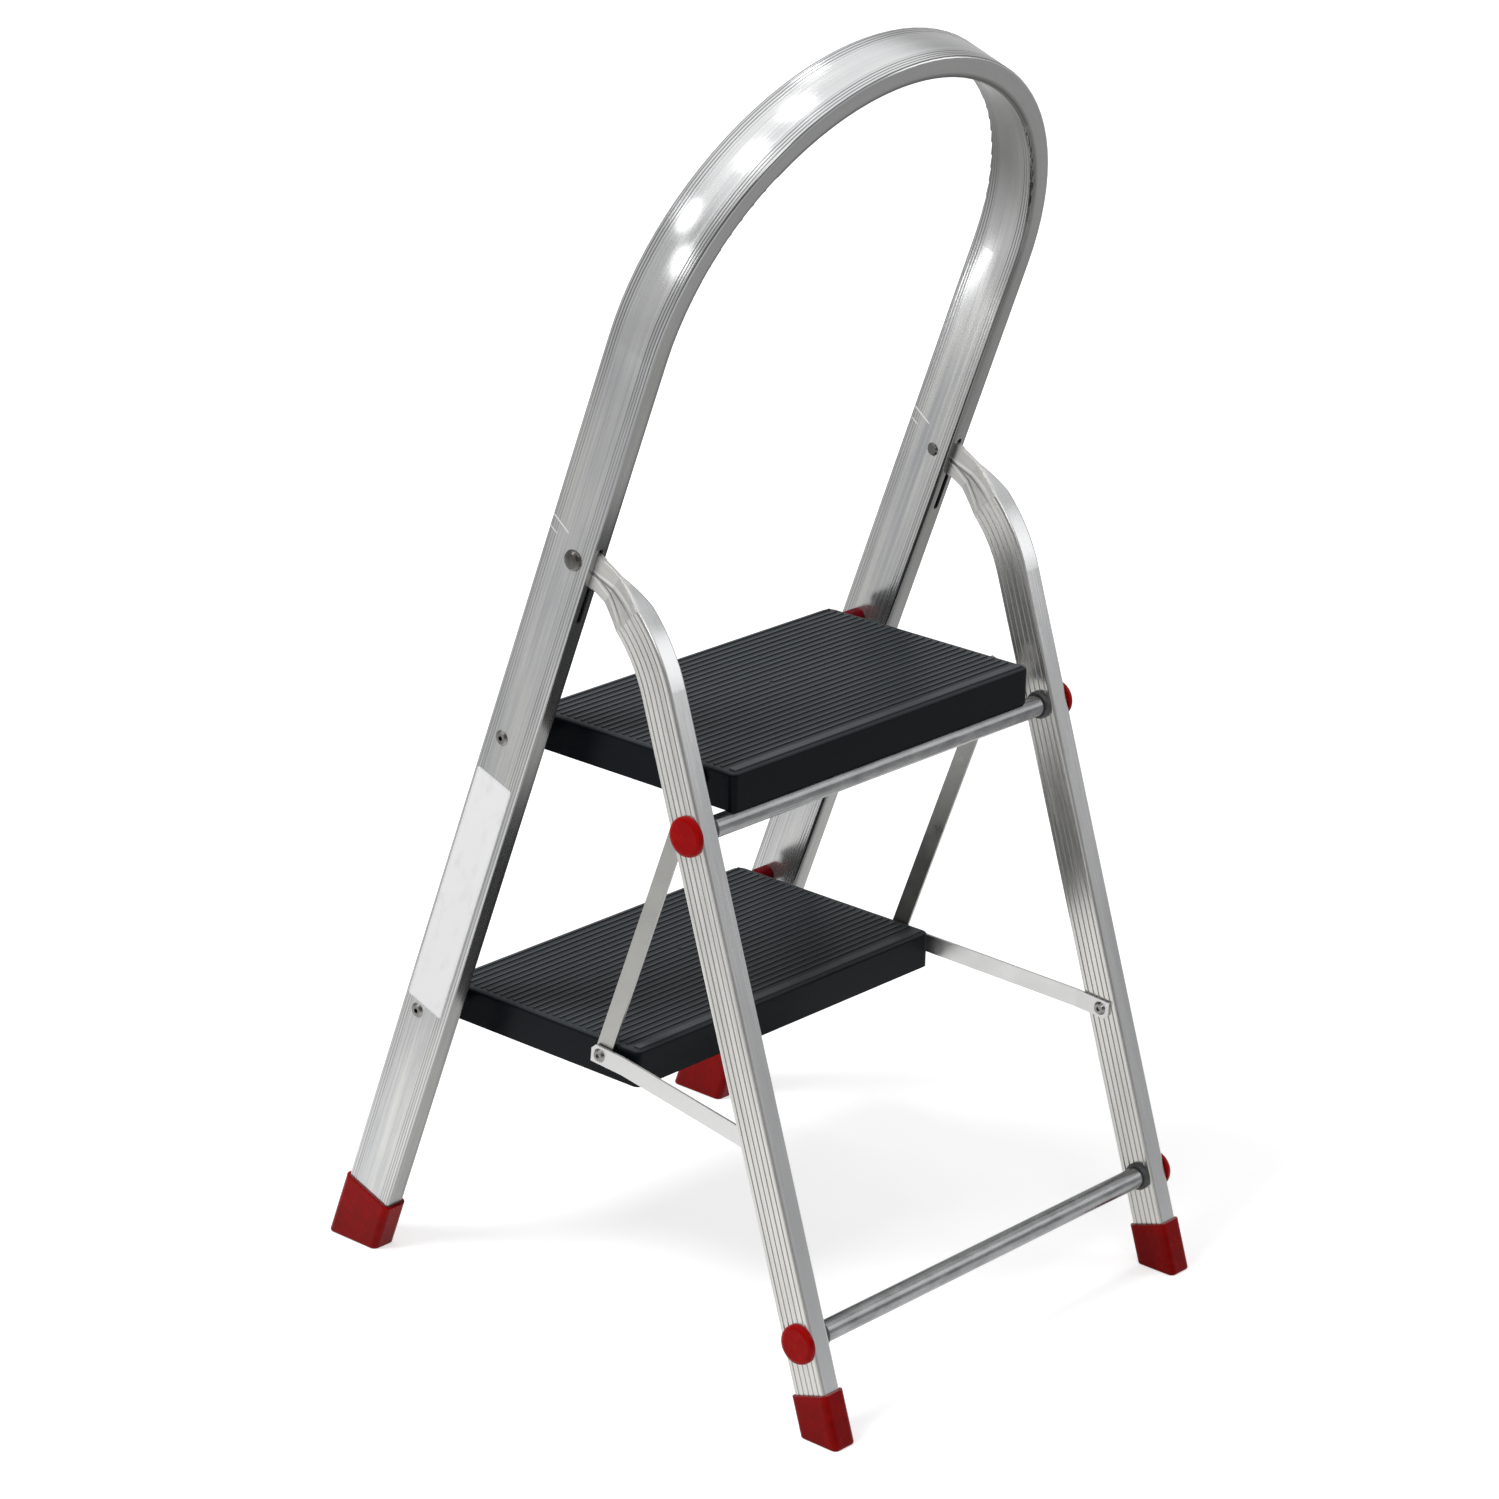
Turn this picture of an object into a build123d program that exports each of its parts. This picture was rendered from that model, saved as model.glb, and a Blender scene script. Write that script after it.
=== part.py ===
from build123d import *
import math
import os

# Two-step folding ladder of aluminium tube, with a handrail hoop and moulded steps.
# Millimetres. X is the width, +Y the rear, +Z up. The origin is on the floor, midway
# between the feet. The climber stands at -Y.

# Stance
outer_width = 430.0
stance_depth = 540.0
hoop_lean = 20.0

# Hoop tube
hoop_tube_depth = 46.0
hoop_tube_width = 18.5
hoop_wall = 1.6
hoop_corner = 3.0
hoop_tube_end = 29.0
arch_start = 858.5

# Rear leg tube
leg_tube_depth = 30.5
leg_tube_width = 18.5
leg_wall = 1.6
leg_corner = 2.5
leg_flute_pitch = 5.0
leg_flutes = 5
leg_flute_depth = 0.6
leg_tube_end = 18.0

# Fold pivot between the stiles and the rear legs
pivot_along = 681.0
pivot_back = 31.0
pivot_shank = 4.0
pivot_head_outer = 8.3
pivot_head_outer_rise = 4.0
pivot_head_inner = 5.4
pivot_head_inner_rise = 1.8
pivot_spacer_radius = 8.5

# Swan neck and flat tongue of the rear leg
neck_offset = 53.4
neck_bend = 46.0
neck_radius = 128.0
tongue_height = 28.0
tongue_thickness = 4.0
tongue_flat_turn = 7.5
crush_turn = 12.5
slot_width = 5.2
slot_above = 17.0
slot_below = 50.0

# Steps
step_along = 243.5
step_spacing = 265.5
step_back = 17.0
step_front = 11.0
step_past_tube = 6.0
step_height = 30.0
step_drop = 11.4
step_wall = 3.0
step_deck = 3.5
step_front_corner = 9.0
step_rear_corner = 5.0
step_edge_round = 3.0
tread_pitch = 7.1
tread_rib_width = 1.8
tread_rib_rise = 0.9
tread_border = 5.5
nosing_width = 6.3
nosing_rise = 1.4
gate_radius = 3.0
gate_depth = 0.6
gate_back = 93.0
under_rib_thickness = 2.5
under_rib_height = 16.0
under_ribs_across = 5
under_ribs_along = 2
boss_radius = 8.5
boss_length = 14.0

# Step rivets and bushes
step_rivet_shank = 3.0
step_rivet_head = 6.2
step_rivet_head_rise = 1.8
step_rivet_bore = 1.9
step_rivet_bore_depth = 6.0
bush_radius = 7.5
bush_length = 14.1
bush_neck_radius = 4.2
bush_round = 1.5
strap_room = 9.5

# Straps
strap_width = 15.0
strap_thickness = 2.0
strap_end = 8.5
strap_clip = 4.0
strap_pin = 3.0
strap_pin_head = 5.6
strap_pin_head_rise = 1.0
strap_pin_from_rear = 35.0
strap_gap = 0.8
stay_leg_along = 223.7
stay_leg_front = 15.4
stay_flat = 24.0
stay_bend = 14.0
stay_head_rise = 2.2
stay_rivet_bore = 1.8

# Cross tubes, collars and end caps
cross_tube_radius = 8.5
cross_tube_wall = 1.5
cross_tube_setback = 13.2
lower_tube_height = 75.5
collar_radius = 11.2
collar_length = 5.0
end_cap_radius = 15.6
end_cap_rise = 5.0
end_cap_round = 3.0
end_cap_spigot = 13.0

# Feet
foot_wall = 2.5
hoop_foot_top = 60.0
leg_foot_top = 43.0
foot_edge_round = 2.0

# Clearances
fit_clearance = 0.1
running_clearance = 0.05
rest_clearance = 0.3

# Derived places in the side view, as (y, z)
half_width = outer_width / 2
arch_radius = half_width - hoop_tube_width / 2
leg_centre_x = half_width - hoop_tube_width / 2
stile_inner_x = half_width - hoop_tube_width
leg_outer_x = leg_centre_x + leg_tube_width / 2
leg_inner_x = leg_centre_x - leg_tube_width / 2
step_side_x = stile_inner_x - bush_length - strap_room
step_width = 2 * step_side_x
lean_sin = math.sin(math.radians(hoop_lean))
lean_cos = math.cos(math.radians(hoop_lean))
toe_y = -stance_depth / 2
heel_y = stance_depth / 2

# Frame of the hoop: x across, y from the front edge to the rear, z up along the stiles
stile = Plane(origin=(0, toe_y, 0), x_dir=(1, 0, 0), z_dir=(0, lean_sin, lean_cos))


def stile_point(along, back):
    """Side-view point on the stile, from its front edge at the floor."""
    return (toe_y + along * lean_sin + back * lean_cos, along * lean_cos - back * lean_sin)


pivot = stile_point(pivot_along, pivot_back)
# The legs lean so that their centre line passes behind the fold pivot by the offset of the neck
pivot_distance = math.hypot(heel_y - pivot[0], pivot[1])
leg_turn = math.asin((neck_offset + leg_tube_depth / 2) / pivot_distance)
leg_lean = math.atan2(heel_y - pivot[0], pivot[1]) - leg_turn
leg_sin = math.sin(leg_lean)
leg_cos = math.cos(leg_lean)
# Frame of the rear legs: x across, y from the rear edge rearwards, z up along the legs
leg = Plane(origin=(0, heel_y, 0), x_dir=(1, 0, 0), z_dir=(0, -leg_sin, leg_cos))


def leg_point(along, front):
    """Side-view point on the rear leg, from its rear edge at the floor."""
    return (heel_y - along * leg_sin - front * leg_cos, along * leg_cos - front * leg_sin)


def leg_at_height(height, front):
    """Side-view point at a height, a distance in front of the rear edge of the leg."""
    return leg_point((height + front * leg_sin) / leg_cos, front)


lower_hinge = stile_point(step_along, step_back)
upper_hinge = stile_point(step_along + step_spacing, step_back)
# The upper step rests on the upper cross tube and reaches a little past it
upper_tube_height = upper_hinge[1] + step_drop - step_height - rest_clearance - cross_tube_radius
upper_tube = leg_at_height(upper_tube_height, cross_tube_setback)
lower_tube = leg_at_height(lower_tube_height, cross_tube_setback)
step_rear = upper_tube[0] - upper_hinge[0] + step_past_tube
strap_reach = step_rear - strap_pin_from_rear
lower_pin = (lower_hinge[0] + strap_reach, lower_hinge[1])
upper_pin = (upper_hinge[0] + strap_reach, upper_hinge[1])
stay_pin = leg_point(stay_leg_along, stay_leg_front)

# Layers beside the step, outwards: lift strap, pin head, stay strap
lift_inner_x = step_side_x + strap_gap
lift_outer_x = lift_inner_x + strap_thickness
pin_head_x = lift_outer_x + running_clearance
pin_end_x = pin_head_x + strap_pin_head_rise
stay_front_x = pin_end_x + rest_clearance
stay_rear_x = leg_inner_x - rest_clearance - strap_thickness


def tube_section(width, depth, corner, wall):
    """Hollow drawn section, round-cornered outside."""
    return RectangleRounded(width, depth, corner) - Rectangle(width - 2 * wall, depth - 2 * wall)


def fluted(section, width):
    """The same section with lengthwise flutes in its two wide faces."""
    side = leg_flute_depth * math.sqrt(2)
    groove = Rotation(0, 0, 45) * Rectangle(side, side)
    for face in (-1, 1):
        for index in range(leg_flutes):
            across = (index - (leg_flutes - 1) / 2) * leg_flute_pitch
            section -= Pos(face * width / 2, across) * groove
    return section


def turned(outline, centre):
    """Solid of revolution about an X axis, from (x, radius) points."""
    profile = make_face(Polyline(*outline, close=True))
    return Pos(0, *centre) * revolve(profile, Axis.X, 360)


def drill(radius, x_from, x_to, centre):
    """Round cutter along X."""
    outline = [(x_from, 0), (x_to, 0), (x_to, radius), (x_from, radius)]
    return turned(outline, centre)


def mirrored(solid):
    """The same piece on the other side of the ladder."""
    return mirror(solid, Plane.YZ)


def group(*solids):
    """Separate solids kept together as one node."""
    return Compound(children=[piece for solid in solids for piece in solid.solids()])


def write(name, solid):
    """Writes one node."""
    export_step(solid, os.path.join("parts", name + ".step"))


def hoop_frame():
    """Bent tube: two stiles and the arch, with pivot slots and rivet holes."""
    flat = tube_section(hoop_tube_width, hoop_tube_depth, hoop_corner, hoop_wall)
    section = Pos(arch_radius, hoop_tube_depth / 2) * flat
    side = Pos(0, 0, hoop_tube_end) * extrude(section, arch_start - hoop_tube_end)
    bend_axis = Axis((0, 0, arch_start), (0, -1, 0))
    arch = revolve(Pos(0, 0, arch_start) * section, bend_axis, 180)
    slot_length = slot_above + slot_below
    slot_middle = pivot_along + (slot_above - slot_below) / 2
    slot_blank = extrude(SlotOverall(slot_length, slot_width, rotation=90), hoop_wall * 2, both=True)
    side -= Pos(arch_radius, hoop_tube_depth, slot_middle) * Rotation(90, 0, 0) * slot_blank
    tube = stile * (side + arch + mirrored(side))
    for centre in (lower_hinge, upper_hinge):
        tube -= drill(step_rivet_shank, -outer_width, outer_width, centre)
    return tube - drill(pivot_shank, -outer_width, outer_width, pivot)


def rear_leg():
    """Ribbed leg tube with its swan neck, crushed end and flat tongue, about its own mid plane."""
    centre_y = -leg_tube_depth / 2
    away = pivot[0] - heel_y
    pivot_y = away * leg_cos + pivot[1] * leg_sin
    pivot_z = -away * leg_sin + pivot[1] * leg_cos
    bend = math.radians(neck_bend)
    corner_z = pivot_z - (centre_y - pivot_y) / math.tan(bend)
    bend_z = corner_z - neck_radius * math.tan(bend / 2)
    bend_y = centre_y - neck_radius
    flat = tube_section(leg_tube_width, leg_tube_depth, leg_corner, leg_wall)
    section = Pos(0, centre_y) * fluted(flat, leg_tube_width)
    bend_axis = Axis((0, bend_y, bend_z), (1, 0, 0))
    turn_full = neck_bend - tongue_flat_turn - crush_turn

    def on_neck(turn, sketch):
        about = Pos(0, bend_y, bend_z) * Rotation(turn, 0, 0) * Pos(0, neck_radius, 0)
        return about * sketch

    straight = Pos(0, 0, leg_tube_end) * extrude(section, bend_z - leg_tube_end)
    neck = revolve(Pos(0, 0, bend_z) * section, bend_axis, turn_full)
    half_crushed = (leg_tube_width + tongue_thickness) / 2
    crushed = RectangleRounded(tongue_thickness, tongue_height, tongue_thickness * 0.4)
    crush = loft(
        [
            on_neck(turn_full, RectangleRounded(leg_tube_width, leg_tube_depth, leg_corner)),
            on_neck(turn_full + crush_turn / 2, RectangleRounded(half_crushed, leg_tube_depth, leg_corner)),
            on_neck(turn_full + crush_turn, crushed),
        ]
    )
    thin = revolve(Pos(0, centre_y, bend_z) * crushed, bend_axis, neck_bend)
    crush_end = on_neck(turn_full + crush_turn, Rectangle(1, 1))
    thin = split(thin, bisect_by=Plane(crush_end.faces()[0]), keep=Keep.TOP)
    reach = (centre_y - pivot_y) / math.sin(bend) - neck_radius * math.tan(bend / 2)
    tongue_plane = Plane(
        origin=(0, pivot_y, pivot_z), x_dir=(0, math.sin(bend), -math.cos(bend)), z_dir=(1, 0, 0)
    )
    outline = Circle(tongue_height / 2) + Pos(reach / 2, 0) * Rectangle(reach, tongue_height)
    tongue = extrude(tongue_plane * outline, tongue_thickness / 2, both=True)
    body = leg * (straight + neck + crush + thin + tongue)
    body -= drill(pivot_shank + running_clearance, -leg_tube_width, leg_tube_width, pivot)
    for centre in (upper_tube, lower_tube):
        body -= drill(cross_tube_radius + fit_clearance, -leg_tube_width, leg_tube_width, centre)
    return body


def step():
    """Moulded step about its hinge axis: deck, skirt, tread ribs, rear nosing, inner ribs and bosses."""
    depth = step_front + step_rear
    middle = (step_rear - step_front) / 2
    top = step_drop
    bottom = top - step_height
    plan = Rectangle(step_width, depth)
    plan = fillet(plan.vertices().group_by(Axis.Y)[0], step_front_corner)
    plan = fillet(plan.vertices().group_by(Axis.Y)[-1], step_rear_corner)
    shell = Pos(0, middle, bottom) * extrude(plan, step_height)
    shell = fillet(shell.faces().sort_by(Axis.Z)[-1].edges(), step_edge_round)
    cavity_plan = offset(plan, -step_wall)
    cavity = Pos(0, middle, bottom) * extrude(cavity_plan, step_height - step_deck)
    shell -= cavity
    inner_width = step_width - 2 * step_wall
    inner_depth = depth - 2 * step_wall
    rib_z = top - step_deck - under_rib_height / 2
    for index in range(under_ribs_across):
        x = ((index + 1) / (under_ribs_across + 1) - 0.5) * inner_width
        shell += Pos(x, middle, rib_z) * Box(under_rib_thickness, inner_depth + step_wall, under_rib_height)
    for index in range(under_ribs_along):
        y = middle + ((index + 1) / (under_ribs_along + 1) - 0.5) * inner_depth
        shell += Pos(0, y, rib_z) * Box(inner_width + step_wall, under_rib_thickness, under_rib_height)
    tread_length = step_width - 2 * tread_border
    tread_from = -step_front + tread_border
    tread_to = step_rear - tread_border - nosing_width
    count = int((tread_to - tread_from) / tread_pitch) + 1
    for index in range(count):
        y = tread_from + index * tread_pitch
        rib = Rectangle(tread_length, tread_rib_width)
        shell += Pos(0, y, top) * extrude(rib, tread_rib_rise)
    nosing_length = step_width - 2 * step_rear_corner
    nosing = Rectangle(nosing_length, nosing_width)
    shell += Pos(0, step_rear - step_edge_round - nosing_width / 2, top) * extrude(nosing, nosing_rise)
    shell -= Pos(0, gate_back - step_front, top + tread_rib_rise - gate_depth) * Cylinder(
        gate_radius, 2 * gate_depth, align=(Align.CENTER, Align.CENTER, Align.MIN)
    )
    for y in (0, strap_reach):
        for side in (-1, 1):
            ends = sorted((side * (step_side_x - step_wall / 2), side * (step_side_x - boss_length)))
            shell += drill(boss_radius, ends[0], ends[1], (y, 0))
    inner_end = step_side_x - 2 * boss_length
    for radius, y in ((step_rivet_shank + running_clearance, 0), (strap_pin, strap_reach)):
        hole = drill(radius, inner_end, step_width, (y, 0))
        shell -= hole
        shell -= mirrored(hole)
    return shell


def bush(centre):
    """Spacer bush on the stile, with a slim neck up to the step."""
    outer = stile_inner_x
    wide = outer - bush_length
    neck = step_side_x + rest_clearance
    outline = [
        (neck, step_rivet_shank + fit_clearance),
        (outer, step_rivet_shank + fit_clearance),
        (outer, bush_radius),
        (wide + bush_round, bush_radius),
        (wide, bush_radius - bush_round),
        (wide, bush_neck_radius),
        (neck, bush_neck_radius),
    ]
    return turned(outline, centre)


def step_rivet(centre):
    """Tubular rivet through the stile and bush into the boss of the step."""
    tail = step_side_x - boss_length
    head = half_width + step_rivet_head_rise
    outline = [
        (tail - step_rivet_head_rise, 0),
        (head - step_rivet_bore_depth, 0),
        (head - step_rivet_bore_depth, step_rivet_bore),
        (head, step_rivet_bore),
        (head, step_rivet_head * 0.7),
        (half_width, step_rivet_head),
        (half_width, step_rivet_shank),
        (tail - running_clearance, step_rivet_shank),
        (tail - running_clearance, step_rivet_head),
        (tail - step_rivet_head_rise, step_rivet_head * 0.8),
    ]
    return turned(outline, centre)


def pivot_rivet():
    """Fold pivot rivet with a domed outer head and a smaller inner head."""
    inner = stile_inner_x
    steps = 4
    dome = []
    for index in range(steps + 1):
        angle = math.pi / 2 * index / steps
        rise = pivot_head_outer_rise * math.sin(angle)
        dome.append((half_width + rise, pivot_head_outer * math.cos(angle)))
    dome[-1] = (half_width + pivot_head_outer_rise, 0)
    outline = [
        (inner - pivot_head_inner_rise, 0),
        (inner - pivot_head_inner_rise, pivot_head_inner * 0.7),
        (inner, pivot_head_inner),
        (inner, pivot_shank),
        (half_width, pivot_shank),
    ]
    return turned(outline + dome, pivot)


def pivot_spacers():
    """Spacers inside the stile, either side of the tongue."""
    near = tongue_thickness / 2 + rest_clearance
    far = hoop_tube_width / 2 - hoop_wall
    pieces = []
    for low, high in ((near, far), (-far, -near)):
        outline = [
            (leg_centre_x + low, pivot_shank + fit_clearance),
            (leg_centre_x + high, pivot_shank + fit_clearance),
            (leg_centre_x + high, pivot_spacer_radius),
            (leg_centre_x + low, pivot_spacer_radius),
        ]
        pieces.append(turned(outline, pivot))
    return pieces


def strap_outline(length):
    """Flat bar from its first pin along +x to its second, with clipped corners and both holes."""
    bar = Pos(length / 2, 0) * Rectangle(length + 2 * strap_end, strap_width)
    first = bar.vertices().sort_by(Axis.X)[:2].sort_by(Axis.Y)[-1]
    last = bar.vertices().sort_by(Axis.X)[2:].sort_by(Axis.Y)[0]
    bar = chamfer([first, last], strap_clip)
    for x in (0, length):
        bar -= Pos(x, 0) * Circle(strap_pin + running_clearance)
    return bar


def lift_strap():
    """Straight strap from the lower step to the upper step."""
    along = Plane(
        origin=(lift_inner_x, *lower_pin), x_dir=(0, lean_sin, lean_cos), z_dir=(1, 0, 0)
    )
    return extrude(along * strap_outline(step_spacing), strap_thickness)


def stay_strap():
    """Cranked strap from the lower step out to the inner face of the rear leg."""
    run = (lower_pin[0] - stay_pin[0], lower_pin[1] - stay_pin[1])
    length = math.hypot(*run)
    along = Plane(origin=(0, *stay_pin), x_dir=(0, run[0] / length, run[1] / length), z_dir=(1, 0, 0))
    offset_x = stay_rear_x - stay_front_x
    thick = strap_thickness
    edge = [
        (-strap_end, 0),
        (stay_flat, 0),
        (length - stay_flat, -offset_x),
        (length + strap_end, -offset_x),
    ]
    back_edge = [(x, y + thick) for x, y in reversed(edge)]
    profile = make_face(Polyline(*edge, *back_edge, close=True))
    bends = [v for v in profile.vertices() if -strap_end < v.X < length + strap_end]
    profile = fillet(bends, stay_bend)
    blank = Rotation(90, 0, 0) * extrude(profile, strap_width / 2, both=True)
    trim = extrude(strap_outline(length), offset_x + 2 * thick, both=True)
    return along * Pos(0, 0, stay_rear_x) * (blank & trim)


def strap_pin_solid(centre):
    """Rivet fixed in the side of the step, with its head outside the lift strap."""
    outline = [
        (step_side_x - boss_length, 0),
        (pin_end_x, 0),
        (pin_end_x, strap_pin_head * 0.8),
        (pin_head_x, strap_pin_head),
        (pin_head_x, strap_pin),
        (step_side_x - boss_length, strap_pin),
    ]
    return turned(outline, centre)


def stay_front_rivet():
    """Tubular rivet head carried by the front end of the stay strap."""
    face = stay_front_x + strap_thickness
    outline = [
        (stay_front_x, 0),
        (face + stay_head_rise * 0.4, 0),
        (face + stay_head_rise * 0.4, stay_rivet_bore),
        (face + stay_head_rise, stay_rivet_bore),
        (face + stay_head_rise, strap_pin_head * 0.7),
        (face, strap_pin_head),
        (face, strap_pin),
        (stay_front_x, strap_pin),
    ]
    return turned(outline, lower_pin)


def stay_leg_rivet():
    """Tubular rivet that holds the stay strap to the inner face of the leg."""
    face = stay_rear_x - running_clearance
    inside = leg_inner_x + leg_wall
    outline = [
        (face - stay_head_rise, stay_rivet_bore),
        (face - stay_head_rise * 0.4, stay_rivet_bore),
        (face - stay_head_rise * 0.4, 0),
        (inside + stay_head_rise, 0),
        (inside + stay_head_rise, strap_pin_head * 0.8),
        (inside, strap_pin_head),
        (inside, strap_pin),
        (face, strap_pin),
        (face, strap_pin_head),
        (face - stay_head_rise, strap_pin_head * 0.7),
    ]
    return turned(outline, stay_pin)


def cross_tube(centre):
    """Round tube through both rear legs."""
    outline = [
        (-leg_outer_x, cross_tube_radius - cross_tube_wall),
        (leg_outer_x, cross_tube_radius - cross_tube_wall),
        (leg_outer_x, cross_tube_radius),
        (-leg_outer_x, cross_tube_radius),
    ]
    return turned(outline, centre)


def collar(centre):
    """Ring on the cross tube against the inner face of the leg."""
    inner = leg_inner_x - collar_length
    bore = cross_tube_radius + fit_clearance
    outline = [
        (inner, bore),
        (leg_inner_x, bore),
        (leg_inner_x, collar_radius),
        (inner + collar_length * 0.4, collar_radius),
        (inner, collar_radius - collar_length * 0.25),
    ]
    return turned(outline, centre)


def end_cap(centre):
    """Round cap on the end of a cross tube, with a spigot in the bore."""
    outer = leg_outer_x + end_cap_rise
    spigot = cross_tube_radius - cross_tube_wall - fit_clearance
    outline = [
        (leg_outer_x - end_cap_spigot, 0),
        (outer, 0),
        (outer, end_cap_radius - end_cap_round),
        (outer - end_cap_round * 0.3, end_cap_radius - end_cap_round * 0.3),
        (outer - end_cap_round, end_cap_radius),
        (leg_outer_x, end_cap_radius),
        (leg_outer_x, spigot),
        (leg_outer_x - end_cap_spigot, spigot),
    ]
    return turned(outline, centre)


def foot(frame, width, depth, corner, centre_y, tube_end, top):
    """Moulded cap over the end of a tube, cut level with the floor."""
    centre_x = leg_centre_x
    outer = RectangleRounded(width + 2 * foot_wall, depth + 2 * foot_wall, corner + foot_wall)
    pocket = RectangleRounded(width + 2 * fit_clearance, depth + 2 * fit_clearance, corner + fit_clearance)
    block = Pos(centre_x, centre_y, -depth) * extrude(outer, depth + top)
    block = frame * (block - Pos(centre_x, centre_y, tube_end) * extrude(pocket, top))
    floor = Plane.XY
    block = split(block, bisect_by=floor, keep=Keep.TOP)
    sole = block.faces().sort_by(Axis.Z)[0]
    return fillet(sole.outer_wire().edges(), foot_edge_round)


def main():
    os.makedirs("parts", exist_ok=True)
    write("hoop_frame", hoop_frame())
    leg_solid = rear_leg()
    right_leg = Pos(leg_centre_x, 0, 0) * leg_solid
    left_leg = Pos(-leg_centre_x, 0, 0) * leg_solid
    inner_hole = drill(strap_pin, leg_inner_x - leg_wall, leg_inner_x + 2 * leg_wall, stay_pin)
    write("rear_leg_right", right_leg - inner_hole)
    write("rear_leg_left", left_leg - mirrored(inner_hole))

    moulded_step = step()
    write("upper_step", Pos(0, *upper_hinge) * moulded_step)
    write("lower_step", Pos(0, *lower_hinge) * moulded_step)

    for level, hinge in (("upper", upper_hinge), ("lower", lower_hinge)):
        write("step_bush_" + level + "_right", bush(hinge))
        write("step_bush_" + level + "_left", mirrored(bush(hinge)))
        rivet = step_rivet(hinge)
        write(level + "_step_rivets", group(rivet, mirrored(rivet)))
    for level, centre in (("upper", upper_pin), ("lower", lower_pin)):
        pin = strap_pin_solid(centre)
        write(level + "_strap_pins", group(pin, mirrored(pin)))
    for level, centre in (("upper", upper_tube), ("lower", lower_tube)):
        write(level + "_cross_tube", cross_tube(centre))
        ring = collar(centre)
        write(level + "_tube_collars", group(ring, mirrored(ring)))
        cap = end_cap(centre)
        write("tube_cap_" + level + "_right", cap)
        write("tube_cap_" + level + "_left", mirrored(cap))

    hoop_centre = hoop_tube_depth / 2
    hoop_foot = foot(
        stile, hoop_tube_width, hoop_tube_depth, hoop_corner, hoop_centre, hoop_tube_end, hoop_foot_top
    )
    leg_centre = -leg_tube_depth / 2
    rear_foot = foot(leg, leg_tube_width, leg_tube_depth, leg_corner, leg_centre, leg_tube_end, leg_foot_top)
    for name, solid in (
        ("hoop_foot", hoop_foot),
        ("rear_foot", rear_foot),
        ("lift_strap", lift_strap()),
        ("stay_strap", stay_strap()),
    ):
        write(name + "_right", solid)
        write(name + "_left", mirrored(solid))

    rivet = pivot_rivet()
    write("pivot_rivets", group(rivet, mirrored(rivet)))
    spacers = pivot_spacers()
    write("pivot_spacers", group(*spacers, *[mirrored(spacer) for spacer in spacers]))
    front_rivet = stay_front_rivet()
    write("stay_front_rivets", group(front_rivet, mirrored(front_rivet)))
    leg_rivet = stay_leg_rivet()
    write("stay_leg_rivets", group(leg_rivet, mirrored(leg_rivet)))


main()
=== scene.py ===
import math

import bmesh
import bpy
from mathutils import Matrix, Vector


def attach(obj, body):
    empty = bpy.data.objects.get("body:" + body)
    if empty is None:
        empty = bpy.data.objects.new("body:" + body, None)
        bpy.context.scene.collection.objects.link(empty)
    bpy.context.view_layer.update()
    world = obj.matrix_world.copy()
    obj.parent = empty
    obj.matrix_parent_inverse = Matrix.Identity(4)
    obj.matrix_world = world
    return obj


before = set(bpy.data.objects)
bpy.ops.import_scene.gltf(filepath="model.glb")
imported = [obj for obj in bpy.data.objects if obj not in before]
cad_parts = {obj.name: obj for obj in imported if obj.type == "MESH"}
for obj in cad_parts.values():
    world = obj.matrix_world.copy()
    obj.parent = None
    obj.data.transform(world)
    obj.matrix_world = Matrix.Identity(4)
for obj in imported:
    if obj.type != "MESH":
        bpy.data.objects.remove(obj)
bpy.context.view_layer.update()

# The studio: a white floor that runs out into a white room, lit by a broad lamp overhead, a panel
# behind and small round lamps that show as pale spots on the bent tube. The camera looks down from
# behind the right-hand rear leg.
camera = bpy.data.objects.new("camera", bpy.data.cameras.new("camera"))
camera.data.sensor_width = 36.0
camera.data.lens = 117.3
camera.data.clip_end = 100.0
camera_place = (2.6846, 2.3411, 1.7256)
look_right = Vector((-0.66639, 0.74528, 0.02204))
look_up = Vector((-0.24134, -0.24358, 0.93937))
camera.matrix_world = Matrix.Translation(camera_place) @ Matrix(
    (look_right, look_up, look_right.cross(look_up))).transposed().to_4x4()
bpy.context.scene.collection.objects.link(camera)
bpy.context.scene.camera = camera
bpy.context.scene.view_settings.view_transform = "Standard"


def add_node(tree, kind, **settings):
    node = tree.nodes.new(kind)
    for name, value in settings.items():
        setattr(node, name, value)
    return node


def plug(tree, socket, value):
    if isinstance(value, bpy.types.NodeSocket):
        tree.links.new(value, socket)
    else:
        socket.default_value = value


def calc(tree, operation, *values):
    node = add_node(tree, "ShaderNodeMath", operation=operation)
    for socket, value in zip(node.inputs, values):
        plug(tree, socket, value)
    return node.outputs[0]


def plus(tree, first, second):
    return calc(tree, "ADD", first, second)


def minus(tree, first, second):
    return calc(tree, "SUBTRACT", first, second)


def times(tree, first, second):
    return calc(tree, "MULTIPLY", first, second)


def highest(tree, first, second):
    return calc(tree, "MAXIMUM", first, second)


def between(tree, value, low, high, out_low=0.0, out_high=1.0, smooth=True):
    """Goes from out_low to out_high while the value goes from low to high."""
    span = add_node(
        tree, "ShaderNodeMapRange", interpolation_type="SMOOTHSTEP" if smooth else "LINEAR")
    plug(tree, span.inputs["Value"], value)
    for name, number in (
            ("From Min", low), ("From Max", high), ("To Min", out_low), ("To Max", out_high)):
        plug(tree, span.inputs[name], number)
    return span.outputs["Result"]


soft_room_light = 0.35
behind_camera = (0.74, 0.67)

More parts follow.
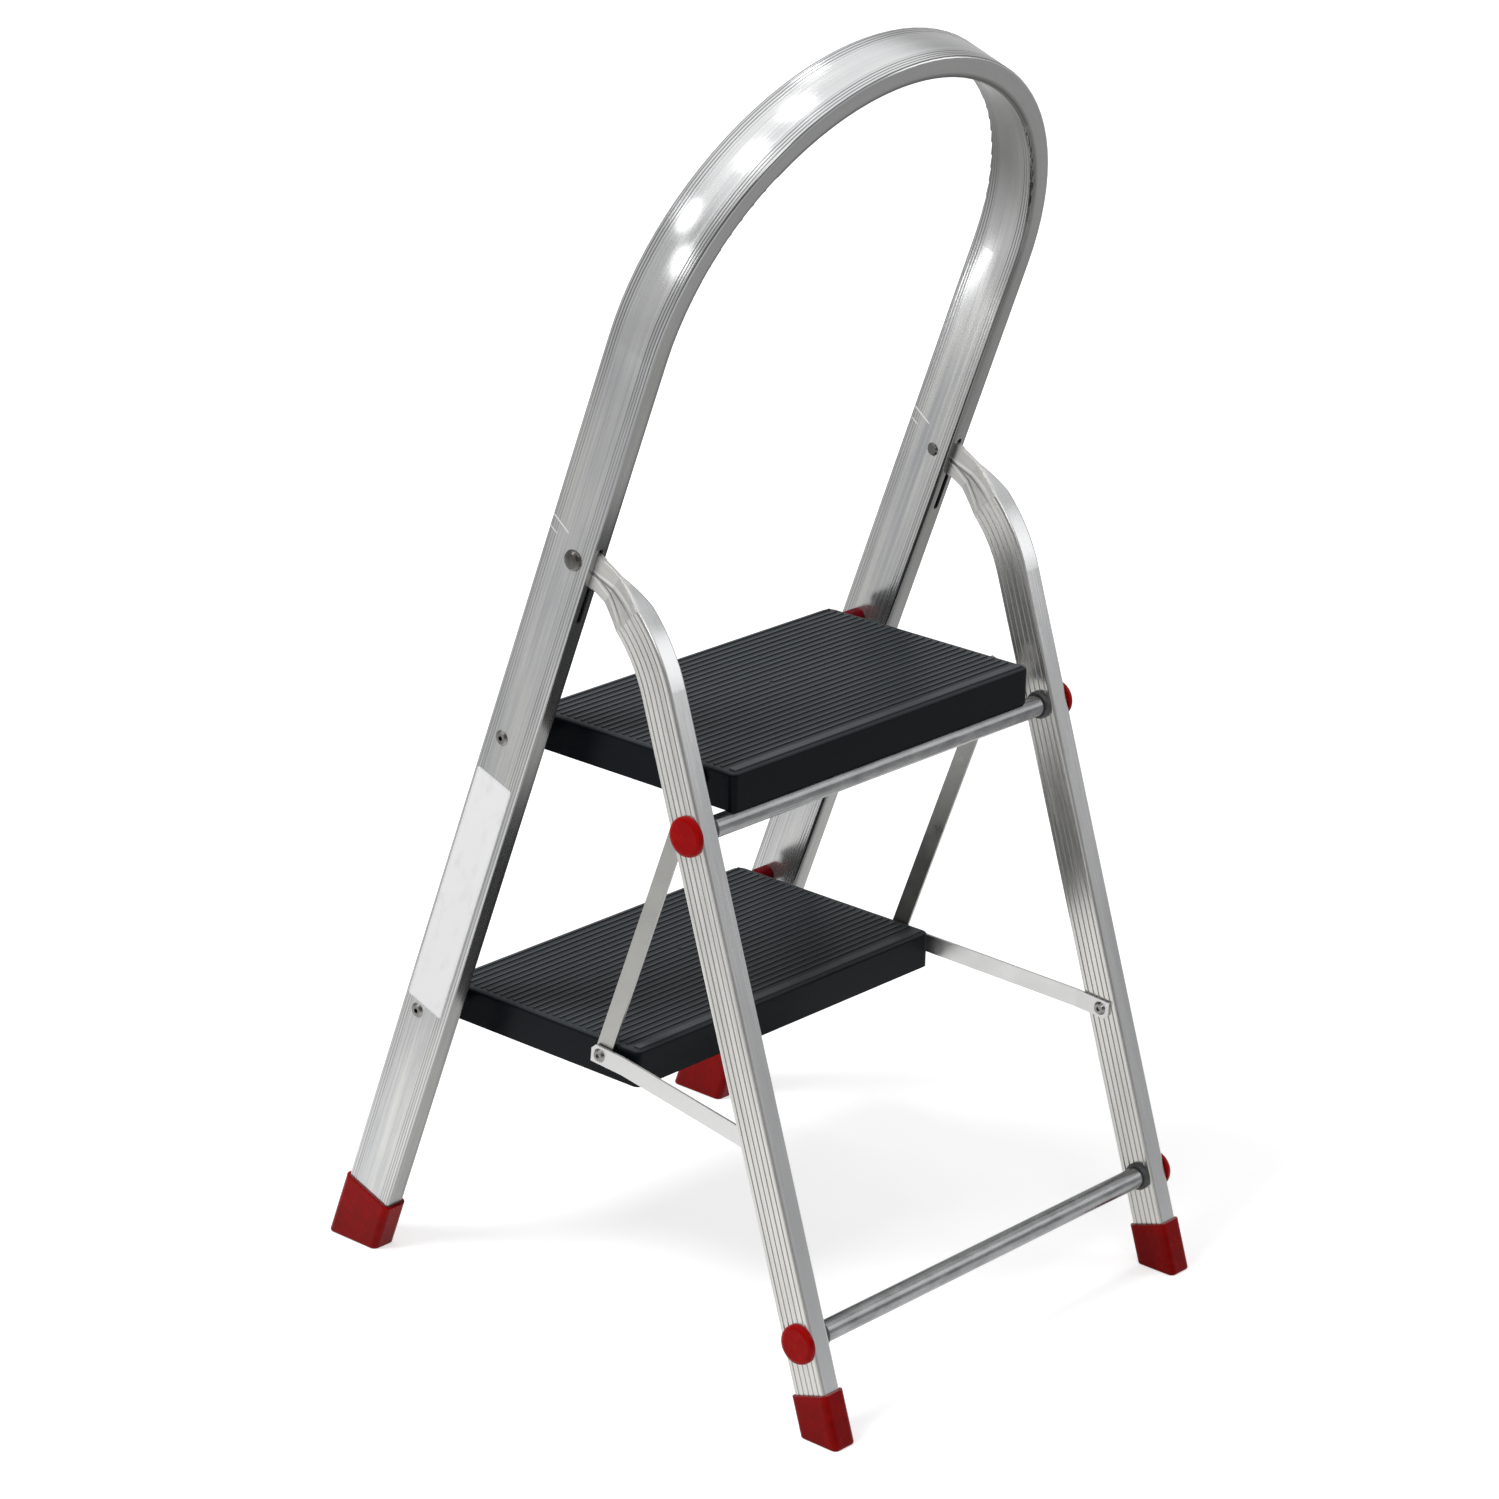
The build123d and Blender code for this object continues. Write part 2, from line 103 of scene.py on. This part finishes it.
world = bpy.data.worlds.new("white_room")
world.use_nodes = True
room = world.node_tree
room.nodes.clear()
rays = add_node(room, "ShaderNodeLightPath").outputs
room_way = add_node(room, "ShaderNodeSeparateXYZ")
room.links.new(add_node(room, "ShaderNodeTexCoord").outputs["Generated"], room_way.inputs[0])
wall = between(room, room_way.outputs["Z"], 0.12, 0.42, 0.58, 0.52)
ceiling = between(room, room_way.outputs["Z"], 0.42, 0.80, 0.0, 0.70)
dim_side = between(room, plus(
    room, times(room, room_way.outputs["X"], behind_camera[0]),
    times(room, room_way.outputs["Y"], behind_camera[1])), 0.45, 0.85, 1.0, 0.45)
mirrored_room = times(
    room, rays["Is Glossy Ray"], times(room, dim_side, plus(room, wall, ceiling)))
seen_room = highest(room, rays["Is Camera Ray"], rays["Is Transmission Ray"])
other_rays = minus(room, 1.0, highest(room, seen_room, rays["Is Glossy Ray"]))
room_light = add_node(room, "ShaderNodeBackground")
room_light.inputs["Color"].default_value = (1.0, 1.0, 1.0, 1.0)
plug(room, room_light.inputs["Strength"], plus(
    room, highest(room, seen_room, mirrored_room), times(room, other_rays, soft_room_light)))
room_output = add_node(room, "ShaderNodeOutputWorld")
room.links.new(room_light.outputs[0], room_output.inputs["Surface"])
bpy.context.scene.world = world

floor_mesh = bmesh.new()
bmesh.ops.create_grid(floor_mesh, x_segments=1, y_segments=1, size=9.0)
floor = bpy.data.objects.new("floor", bpy.data.meshes.new("floor"))
floor_mesh.to_mesh(floor.data)
floor_mesh.free()
bpy.context.scene.collection.objects.link(floor)
floor_paint = bpy.data.materials.new("white_floor")
floor_paint.use_nodes = True
tree = floor_paint.node_tree
shade = tree.nodes["Principled BSDF"]
shade.inputs["Base Color"].default_value = (0.86, 0.86, 0.86, 1.0)
shade.inputs["Roughness"].default_value = 0.9
shade.inputs["Specular IOR Level"].default_value = 0.0
shade.inputs["Emission Color"].default_value = (1.0, 1.0, 1.0, 1.0)
rays = add_node(tree, "ShaderNodeLightPath").outputs
floor_way = add_node(tree, "ShaderNodeVectorMath", operation="LENGTH")
tree.links.new(add_node(tree, "ShaderNodeTexCoord").outputs["Object"], floor_way.inputs[0])
from_ladder = floor_way.outputs["Value"]
white_far_out = between(tree, from_ladder, 0.4, 2.6, 0.58, 1.0)
# Painted light: for mirrored rays the floor glows in a pool round the ladder and in a faint ring
# further out.
painted_light_pool = between(tree, from_ladder, 0.45, 1.0, 0.68, 0.06)
painted_light_rim = between(tree, from_ladder, 1.5, 2.4, 0.0, 0.18)
plug(tree, shade.inputs["Emission Strength"], highest(
    tree, times(tree, rays["Is Camera Ray"], white_far_out),
    times(tree, rays["Is Glossy Ray"], plus(tree, painted_light_pool, painted_light_rim))))
floor.data.materials.append(floor_paint)


def hang_lamp(name, shape, size, power, place, aim, mirrored=True, spread=math.pi):
    lamp = bpy.data.objects.new(name, bpy.data.lights.new(name, "AREA"))
    lamp.data.shape = shape
    lamp.data.size = size
    lamp.data.energy = power
    lamp.data.spread = spread
    lamp.visible_camera = False
    lamp.visible_glossy = mirrored
    lamp.matrix_world = Matrix.Translation(place) @ (
        Vector(aim) - Vector(place)).to_track_quat("-Z", "Y").to_matrix().to_4x4()
    bpy.context.scene.collection.objects.link(lamp)


upper_step_middle = (0.0, 0.0, 0.4)
pivot_middle = (0.0, 0.0, 0.5)
far_stile = (-0.2, 0.04, 0.8)
hang_lamp("lamp_overhead", "DISK", 1.0, 36.0, (1.5, -0.5, 2.5), upper_step_middle, mirrored=False)
hang_lamp("lamp_behind", "DISK", 1.0, 9.0, (1.3, 2.2, 2.6), upper_step_middle)
hang_lamp("panel_rear_left", "SQUARE", 1.1, 5.5, (-1.7, 1.6, 1.4), (0.0, 0.1, 0.6))
spot_size = 0.42
for name, power, place, aim in (
        ("spot_over_left", 1.4, (-0.43, -0.79, 2.70), upper_step_middle),
        ("spot_over_middle", 1.6, (0.23, -0.25, 2.93), upper_step_middle),
        ("spot_over_right", 1.6, (1.07, -0.24, 2.68), upper_step_middle),
        ("spot_side_high", 1.4, (1.63, -0.82, 1.96), pivot_middle),
        ("spot_side_low", 1.4, (2.00, -0.56, 1.45), pivot_middle)):
    hang_lamp(name, "DISK", spot_size, power, place, aim)
hang_lamp("spot_inside_arch", "DISK", 0.16, 0.0023, (0.97, -1.0, 0.43), far_stile,
          spread=math.radians(16.0))


# The hoop: one length of drawn aluminium tube, bent over to the handrail and cut off at the feet.
# It is left as it came from the die, with lines along its edges, clearest over the bend, and is
# scored across each stile above the pivot. The bend is painted lighter as painted light, the inside
# of the bend, the rear face and a line along the inner edge are painted darker as painted shade,
# and the rear face is rougher.
hoop_lean = math.radians(20.0)
hoop_toe = -0.270
hoop_middle = 0.023
arch_start = 0.8585
arch_radius = 0.20575
rear_face = (0.0452, 0.0458)
front_lined_edge = (0.012, 0.009)
rear_lined_edge = (0.034, 0.037)
line_pitch = 0.0024
score_slope = 0.32
# Each score mark: its height up the stile, its half width from rim to core, and how far back it goes.
score_marks = (
    (0.7045, (0.0009, 0.0003), (0.021, 0.018)),
    (0.6945, (0.0007, 0.0002), (0.011, 0.008)))


def follow_tube(tree, lean=0.0, shift=(0.0, 0.0, 0.0)):
    """Turns the object's coordinates so that Y runs back across the tube and Z along it."""
    turn = add_node(tree, "ShaderNodeMapping")
    turn.inputs["Rotation"].default_value = (lean, 0.0, 0.0)
    turn.inputs["Location"].default_value = shift
    tree.links.new(add_node(tree, "ShaderNodeTexCoord").outputs["Object"], turn.inputs["Vector"])
    split = add_node(tree, "ShaderNodeSeparateXYZ")
    tree.links.new(turn.outputs[0], split.inputs[0])
    return split.outputs


def follow_stile(tree):
    return follow_tube(
        tree, hoop_lean, (0.0, -hoop_toe * math.cos(hoop_lean), -hoop_toe * math.sin(hoop_lean)))


def round_bend(tree, across, along, start, radius):
    """Measures outward from the centre of a bend, and along a tube that runs straight into it."""
    past = highest(tree, minus(tree, along, start), 0.0)
    outward = calc(tree, "SQRT", plus(tree, times(tree, across, across), times(tree, past, past)))
    turned = times(tree, calc(tree, "ARCTAN2", past, across), radius)
    return outward, plus(tree, calc(tree, "MINIMUM", along, start), turned)


def away_from(tree, value, place):
    return calc(tree, "ABSOLUTE", minus(tree, value, place))


def streaks(tree, place, scales, detail):
    """A cloudy pattern from 0 to 1, finer along the coordinates that have a larger scale."""
    join = add_node(tree, "ShaderNodeCombineXYZ")
    for socket, value, scale in zip(join.inputs, place, scales):
        plug(tree, socket, times(tree, value, scale))
    noise = add_node(tree, "ShaderNodeTexNoise")
    noise.inputs["Scale"].default_value = 1.0
    noise.inputs["Detail"].default_value = detail
    noise.inputs["Roughness"].default_value = 0.6
    tree.links.new(join.outputs[0], noise.inputs["Vector"])
    return noise.outputs["Fac"]


def tint(tree, share, dark, light):
    mix = add_node(tree, "ShaderNodeMix", data_type="RGBA")
    plug(tree, mix.inputs["Factor"], share)
    for side_name, colour in (("A", dark), ("B", light)):
        is_socket = isinstance(colour, bpy.types.NodeSocket)
        plug(tree, mix.inputs[side_name], colour if is_socket else (*colour, 1.0))
    return mix.outputs["Result"]


def stain(tree, colour, mask, strength, mark):
    """Lays a mark's colour over another where the mask is 1, as strongly as it says."""
    return tint(tree, minus(tree, 1.0, times(tree, mask, strength)), mark, colour)


def raise_surface(tree, shade, height, distance):
    bump = add_node(tree, "ShaderNodeBump")
    bump.inputs["Strength"].default_value = 1.0
    bump.inputs["Distance"].default_value = distance
    tree.links.new(height, bump.inputs["Height"])
    tree.links.new(bump.outputs[0], shade.inputs["Normal"])


def new_finish(name):
    finish = bpy.data.materials.new(name)
    finish.use_nodes = True
    return finish, finish.node_tree, finish.node_tree.nodes["Principled BSDF"]


def dress(finish, *names):
    for name in names:
        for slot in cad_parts[name].material_slots:
            slot.material = finish


hoop_metal, tree, shade = new_finish("hoop_aluminium")
side, back, along = follow_stile(tree)
outward, length = round_bend(tree, side, along, arch_start, arch_radius)
drawn = streaks(tree, (back, outward, length), (460.0, 460.0, 4.0), 3.0)
cloud = streaks(tree, (back, outward, length), (60.0, 60.0, 9.0), 4.0)
grain = plus(tree, times(tree, cloud, 0.4), times(tree, drawn, 0.6))

lined_edges = plus(
    tree, between(tree, back, *front_lined_edge), between(tree, back, *rear_lined_edge))
ripple = calc(tree, "ABSOLUTE", calc(tree, "SINE", times(tree, back, math.pi / line_pitch)))
lines = times(tree, lined_edges, calc(tree, "POWER", ripple, 6.0))
line_strength = between(tree, along, 0.78, 0.90, 0.55, 0.95)

# Painted light: the bend is painted lighter, where it takes the lamps.
bend_painted_highlight = between(tree, along, 0.80, 0.95)
# Painted shade: the narrow rear face is painted darker.
rear_face_painted_shade = between(tree, back, *rear_face)
# Painted shade: the inner face of the arch is painted dark.
inside_bend_painted_shade = times(tree, between(tree, outward, 0.2015, 0.1985), between(
    tree, along, arch_start - 0.01, arch_start + 0.09))
# Painted shade: a dark line is painted along the inner edge of the arch.
inner_edge_painted_shade = times(tree, between(tree, outward, 0.2025, 0.2005), between(
    tree, away_from(tree, back, 0.0450), 0.0013, 0.0006))

score_line = plus(tree, along, times(tree, back, score_slope))
scores = 0.0
for height, half_width, reach in score_marks:
    scores = highest(tree, scores, times(tree, between(
        tree, away_from(tree, score_line, height), *half_width), between(tree, back, *reach)))
scores = times(tree, scores, between(tree, back, 0.0006, 0.0016))

colour = tint(tree, between(tree, grain, 0.3, 0.7), (0.375, 0.382, 0.395), (0.57, 0.567, 0.55))
for mask, strength, mark in (
        (bend_painted_highlight, 0.5, (0.74, 0.745, 0.755)),
        (lines, line_strength, (0.08, 0.083, 0.088)),
        (rear_face_painted_shade, 0.55, (0.14, 0.138, 0.132)),
        (inside_bend_painted_shade, 0.75, (0.10, 0.097, 0.09)),
        (inner_edge_painted_shade, 0.7, (0.05, 0.049, 0.046)),
        (scores, 1.0, (0.85, 0.85, 0.86))):
    colour = stain(tree, colour, mask, strength, mark)
plug(tree, shade.inputs["Base Color"], colour)
shade.inputs["Metallic"].default_value = 0.82
plug(tree, shade.inputs["Roughness"], highest(
    tree, between(tree, grain, 0.25, 0.75, 0.11, 0.24),
    between(tree, back, *rear_face, 0.0, 0.26)))
from_middle = minus(tree, back, hoop_middle)
crown = times(tree, times(tree, from_middle, from_middle), between(
    tree, along, 0.80, 0.88, 0.0, -31000.0))
drawn_relief = times(tree, drawn, between(tree, back, 0.0452, 0.0440, 0.0, 0.10))
raise_surface(tree, shade, plus(
    tree, crown, minus(tree, drawn_relief, times(tree, lines, 0.3))), 0.00012)
dress(hoop_metal, "hoop_frame")


# The rear legs: fluted aluminium tube, swept forward at the top and crushed flat there, where the
# tongue goes into the stile. The drawn lines follow the sweep, the crushed neck is dull and creased,
# with painted highlights on the crests of its creases and painted shade in their hollows, and the
# legs are darker towards the feet. The hollows of the fluting, a line near the rear edge and the rear
# face carry painted shade.
leg_lean = math.radians(18.103)
sweep_radius = 0.128
sweep_back = 0.1133
sweep_start = 0.4948
half_flute_pitch = 0.0025
flute_limits = (0.0127, 0.0117)
leg_corner = 0.0140
neck = (0.540, 0.572)

leg_metal, tree, shade = new_finish("leg_aluminium")
side, back, along = follow_tube(tree, -leg_lean)
outward, length = round_bend(
    tree, minus(tree, back, sweep_back), along, sweep_start, sweep_radius)
across = minus(tree, outward, sweep_radius)
drawn = streaks(tree, (across, side, length), (900.0, 900.0, 5.0), 3.0)
cloud = streaks(tree, (across, side, length), (70.0, 70.0, 9.0), 4.0)
grain = plus(tree, times(tree, cloud, 0.5), times(tree, drawn, 0.5))

# Painted shade: the hollows of the fluting and a line near the rear edge are painted dark, less so in
# the crushed neck.
flute_wave = calc(tree, "PINGPONG", plus(tree, across, half_flute_pitch), half_flute_pitch)
flute_painted_shade = between(tree, flute_wave, 0.0017, half_flute_pitch)
flute_painted_shade = times(tree, flute_painted_shade, between(tree, calc(tree, "ABSOLUTE", across), *flute_limits))
flute_painted_shade = times(tree, flute_painted_shade, between(tree, cloud, 0.3, 0.65, 0.45, 1.0))
corner_painted_shade = between(tree, away_from(tree, across, leg_corner), 0.0009, 0.0004)
crushed = between(tree, length, *neck)
flute_shade_strength = between(tree, crushed, 0.0, 1.0, 0.25, 0.14)
near_foot = between(tree, length, 0.42, 0.02)
# Painted shade: the leg's rear face is painted darker and bluer.
rear_face_painted_shade = between(tree, across, 0.0146, 0.0152)
toward_tongue = between(tree, length, 0.550, 0.600, smooth=False)


def crease(start, shift, width):
    """A fold in the neck that starts on one line across the leg and shifts towards the tongue."""
    line = plus(tree, times(tree, toward_tongue, shift), start)
    return between(tree, away_from(tree, across, line), width, 0.0)


# The creases are bumped; their crests are also painted pale as painted highlights and their hollows
# dark as painted shade.
ridges_and_painted_highlight = times(tree, crushed, highest(
    tree, crease(0.0105, -0.0105, 0.0022), crease(-0.0100, 0.0060, 0.0018)))
grooves_and_painted_shade = times(tree, crushed, highest(
    tree, crease(0.0060, -0.0085, 0.0016), crease(-0.0065, 0.0055, 0.0013)))

colour = tint(tree, between(tree, grain, 0.3, 0.7), (0.54, 0.534, 0.518), (0.76, 0.750, 0.722))
for mask, strength, mark in (
        (near_foot, 0.38, (0.33, 0.322, 0.30)),
        (rear_face_painted_shade, 0.5, (0.47, 0.487, 0.52)),
        (highest(tree, flute_painted_shade, corner_painted_shade), flute_shade_strength, (0.12, 0.113, 0.10)),
        (ridges_and_painted_highlight, 0.8, (0.95, 0.95, 0.945)),
        (grooves_and_painted_shade, 0.75, (0.12, 0.117, 0.11))):
    colour = stain(tree, colour, mask, strength, mark)
plug(tree, shade.inputs["Base Color"], colour)
shade.inputs["Metallic"].default_value = 0.85
plug(tree, shade.inputs["Roughness"], between(
    tree, grain, 0.25, 0.75,
    between(tree, crushed, 0.0, 1.0, 0.18, 0.34), between(tree, crushed, 0.0, 1.0, 0.30, 0.44)))
folds = minus(tree, ridges_and_painted_highlight, times(tree, grooves_and_painted_shade, 0.8))
raise_surface(tree, shade, plus(tree, times(tree, drawn, 0.1), folds), 0.0003)
dress(leg_metal, "rear_leg_right", "rear_leg_left")


# The cross tubes: thin round steel tube with a grey zinc coat, pushed through the legs and held by
# the caps. The coat is smooth and mottled, with drawn marks across the ladder.
tube_metal, tree, shade = new_finish("cross_tube_metal")
place = follow_tube(tree)
drawn = streaks(tree, place, (6.0, 700.0, 700.0), 3.0)
cloud = streaks(tree, place, (45.0, 110.0, 110.0), 5.0)
plug(tree, shade.inputs["Base Color"], tint(
    tree, between(tree, cloud, 0.3, 0.7), (0.19, 0.194, 0.198), (0.29, 0.294, 0.298)))
shade.inputs["Metallic"].default_value = 0.85
plug(tree, shade.inputs["Roughness"], between(tree, cloud, 0.25, 0.75, 0.18, 0.30))
raise_surface(tree, shade, drawn, 0.00003)
dress(tube_metal, "upper_cross_tube", "lower_cross_tube")


# The collars: dark plastic rings that fill the holes in the legs round the cross tubes.
# They are moulded, with a slightly dull, worn face.
collar_plastic, tree, shade = new_finish("collar_plastic")
place = follow_tube(tree)
grain = streaks(tree, place, (1500.0, 1500.0, 1500.0), 2.0)
wear = streaks(tree, place, (160.0, 160.0, 160.0), 4.0)
plug(tree, shade.inputs["Base Color"], tint(
    tree, wear, (0.022, 0.023, 0.025), (0.06, 0.062, 0.065)))
plug(tree, shade.inputs["Roughness"], between(tree, wear, 0.3, 0.7, 0.38, 0.55))
raise_surface(tree, shade, grain, 0.00002)
dress(collar_plastic, "upper_tube_collars", "lower_tube_collars")


# The red feet, caps and bushes: moulded plastic, a little glossy, with a fine grain from the mould
# and paler rubbed patches. The feet are pushed over the tube ends and carry painted shade towards the
# floor, and the bushes between steps and stiles are painted a darker red as painted shade.
foot_shade_height = 0.085


def red_finish(name, deep, pale):
    finish, tree, shade = new_finish(name)
    place = follow_tube(tree)
    grain = streaks(tree, place, (1300.0, 1300.0, 1300.0), 2.0)
    wear = streaks(tree, place, (75.0, 75.0, 75.0), 5.0)
    colour = tint(tree, between(tree, wear, 0.3, 0.75), deep, pale)
    # Painted shade: the red is painted darker towards the floor.
    painted_shade_near_floor = between(tree, place["Z"], foot_shade_height, 0.0)
    plug(tree, shade.inputs["Base Color"], stain(
        tree, colour, painted_shade_near_floor, 0.40, (0.055, 0.0010, 0.0010)))
    shade.inputs["Specular IOR Level"].default_value = 0.06
    plug(tree, shade.inputs["Roughness"], between(tree, wear, 0.25, 0.75, 0.18, 0.32))
    raise_surface(tree, shade, grain, 0.00003)
    return finish


dress(red_finish("red_plastic", (0.29, 0.0010, 0.0014), (0.38, 0.0022, 0.0028)),
      "hoop_foot_right", "hoop_foot_left", "rear_foot_right", "rear_foot_left",
      "tube_cap_upper_right", "tube_cap_upper_left", "tube_cap_lower_right", "tube_cap_lower_left")
# The bushes get a darker copy of the red plastic as painted shade.
dress(red_finish("red_plastic_painted_shade", (0.115, 0.0012, 0.0040), (0.165, 0.0026, 0.0070)),
      "step_bush_upper_right", "step_bush_upper_left",
      "step_bush_lower_right", "step_bush_lower_left")


# The steps: one moulding used twice, in black-grey plastic. The ribbed tread is dull, and the tops of
# its ribs are greyed by shoes and lighter as a painted highlight; the skirt is painted darker as
# painted shade, and glossy.
def step_finish(name, deck_top, rib_top):
    finish, tree, shade = new_finish(name)
    place = follow_tube(tree)
    grain = streaks(tree, place, (1400.0, 1400.0, 1400.0), 2.0)
    scuff = streaks(tree, place, (24.0, 190.0, 60.0), 5.0)
    flow = streaks(tree, place, (18.0, 18.0, 40.0), 3.0)
    tread = between(tree, place["Z"], deck_top - 0.0020, deck_top - 0.0004)
    # The tops of the ribs: greyed by wear in scuffed patches and lighter as a painted highlight.
    rib_top_wear_and_highlight = times(tree, between(tree, place["Z"], rib_top - 0.00025, rib_top - 0.00005),
                   between(tree, scuff, 0.2, 0.65, 0.45, 1.0))
    # Painted shade: the skirt is painted darker than the tread.
    skirt_painted_shade_colour = tint(tree, flow, (0.0026, 0.0040, 0.0060), (0.0048, 0.0066, 0.0092))
    tread_colour = tint(tree, rib_top_wear_and_highlight, (0.0400, 0.0455, 0.0495), (0.076, 0.085, 0.091))
    plug(tree, shade.inputs["Base Color"], tint(tree, tread, skirt_painted_shade_colour, tread_colour))
    shade.inputs["Specular IOR Level"].default_value = 0.07
    plug(tree, shade.inputs["Roughness"], plus(
        tree, between(tree, tread, 0.0, 1.0, 0.14, 0.27), times(tree, flow, 0.1)))
    raise_surface(tree, shade, grain, 0.00004)
    return finish


dress(step_finish("step_plastic_upper", 0.4839, 0.4848), "upper_step")
dress(step_finish("step_plastic_lower", 0.2344, 0.2353), "lower_step")


# The straps: flat aluminium strip with rounded ends, cut from bar and drawn lengthwise.
# The lift straps are given a darker tone than the stay straps.
def strap_finish(name, dark, light):
    finish, tree, shade = new_finish(name)
    place = follow_tube(tree)
    drawn = streaks(tree, place, (400.0, 120.0, 120.0), 3.0)
    cloud = streaks(tree, place, (60.0, 40.0, 40.0), 4.0)
    plug(tree, shade.inputs["Base Color"], tint(tree, cloud, dark, light))
    shade.inputs["Metallic"].default_value = 0.9
    plug(tree, shade.inputs["Roughness"], between(tree, cloud, 0.25, 0.75, 0.24, 0.40))
    raise_surface(tree, shade, drawn, 0.00003)
    return finish


dress(strap_finish("lift_strap_aluminium", (0.33, 0.328, 0.315), (0.46, 0.456, 0.435)),
      "lift_strap_right", "lift_strap_left")
dress(strap_finish("stay_strap_aluminium", (0.50, 0.50, 0.495), (0.67, 0.668, 0.66)),
      "stay_strap_right", "stay_strap_left")


# The rivets and pins: plated steel, domed at the fold pivots and hollow elsewhere, closed in place,
# so their heads carry small tool marks. The domed ones are darker.
def rivet_finish(name, dark, light):
    finish, tree, shade = new_finish(name)
    place = follow_tube(tree)
    marks = streaks(tree, place, (900.0, 900.0, 900.0), 3.0)
    cloud = streaks(tree, place, (260.0, 260.0, 260.0), 3.0)
    plug(tree, shade.inputs["Base Color"], tint(tree, cloud, dark, light))
    shade.inputs["Metallic"].default_value = 1.0
    plug(tree, shade.inputs["Roughness"], between(tree, cloud, 0.3, 0.7, 0.12, 0.24))
    raise_surface(tree, shade, marks, 0.00003)
    return finish


dress(rivet_finish("rivet_steel", (0.13, 0.125, 0.118), (0.30, 0.292, 0.28)),
      "upper_step_rivets", "lower_step_rivets", "upper_strap_pins", "lower_strap_pins",
      "stay_front_rivets", "stay_leg_rivets")
dress(rivet_finish("pivot_rivet_steel", (0.07, 0.067, 0.062), (0.19, 0.183, 0.172)),
      "pivot_rivets")


# The pivot spacers: natural nylon washers inside the stiles, on both sides of each tongue.
# They are turned, waxy and a little yellowed.
spacer_nylon, tree, shade = new_finish("spacer_plastic")
cloud = streaks(tree, follow_tube(tree), (300.0, 300.0, 300.0), 3.0)
plug(tree, shade.inputs["Base Color"], tint(tree, cloud, (0.50, 0.48, 0.42), (0.62, 0.60, 0.54)))
plug(tree, shade.inputs["Roughness"], between(tree, cloud, 0.3, 0.7, 0.4, 0.55))
raise_surface(tree, shade, cloud, 0.00003)
dress(spacer_nylon, "pivot_spacers")


# The label: a blank strip of white vinyl film with rounded corners, stuck on the outside of the
# right stile between the two step rivets. It is a little soiled and rubbed along its edges.
label_low, label_high = 0.252, 0.474
label_front, label_rear = 0.0035, 0.0405
label_thickness = 0.00016
label_corner = 0.002
stile_face = 0.215
glue_gap = 0.00002

label_mesh = bmesh.new()
bmesh.ops.create_grid(label_mesh, x_segments=1, y_segments=1, size=0.5)
bmesh.ops.scale(
    label_mesh, vec=(label_rear - label_front, label_high - label_low, 1.0), verts=label_mesh.verts)
bmesh.ops.bevel(
    label_mesh, geom=label_mesh.verts[:], offset=label_corner, affect="VERTICES", segments=5,
    profile=0.5, material=-1)
label_film = bmesh.ops.extrude_face_region(label_mesh, geom=label_mesh.faces[:])
bmesh.ops.translate(
    label_mesh, vec=(0.0, 0.0, label_thickness),
    verts=[item for item in label_film["geom"] if isinstance(item, bmesh.types.BMVert)])
bmesh.ops.recalc_face_normals(label_mesh, faces=label_mesh.faces)
stile_axes = Matrix((
    (0.0, 0.0, 1.0),
    (math.cos(hoop_lean), math.sin(hoop_lean), 0.0),
    (-math.sin(hoop_lean), math.cos(hoop_lean), 0.0))).to_4x4()
label_middle = stile_axes @ Vector(
    ((label_front + label_rear) / 2, (label_low + label_high) / 2, 0.0))
bmesh.ops.transform(label_mesh, verts=label_mesh.verts, matrix=Matrix.Translation(
    label_middle + Vector((stile_face + glue_gap, hoop_toe, 0.0))) @ stile_axes)
label = bpy.data.objects.new("blank_label", bpy.data.meshes.new("blank_label"))
label_mesh.to_mesh(label.data)
label_mesh.free()
bpy.context.scene.collection.objects.link(label)

label_vinyl, tree, shade = new_finish("label_vinyl")
place = follow_stile(tree)
soil = streaks(tree, place, (1.0, 90.0, 40.0), 5.0)
waves = streaks(tree, place, (1.0, 30.0, 25.0), 2.0)
from_sides = calc(
    tree, "MINIMUM", minus(tree, place["Y"], label_front), minus(tree, label_rear, place["Y"]))
from_ends = calc(
    tree, "MINIMUM", minus(tree, place["Z"], label_low), minus(tree, label_high, place["Z"]))
from_edge = calc(tree, "MINIMUM", from_sides, from_ends)
grubby = plus(tree, between(tree, from_edge, 0.003, 0.0, 0.0, 0.5),
              between(tree, soil, 0.5, 0.8, 0.0, 0.6))
plug(tree, shade.inputs["Base Color"], tint(tree, grubby, (0.89, 0.89, 0.90), (0.74, 0.74, 0.74)))
plug(tree, shade.inputs["Roughness"], between(tree, soil, 0.3, 0.7, 0.30, 0.45))
raise_surface(tree, shade, waves, 0.0002)
label.data.materials.append(label_vinyl)
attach(label, "hoop")
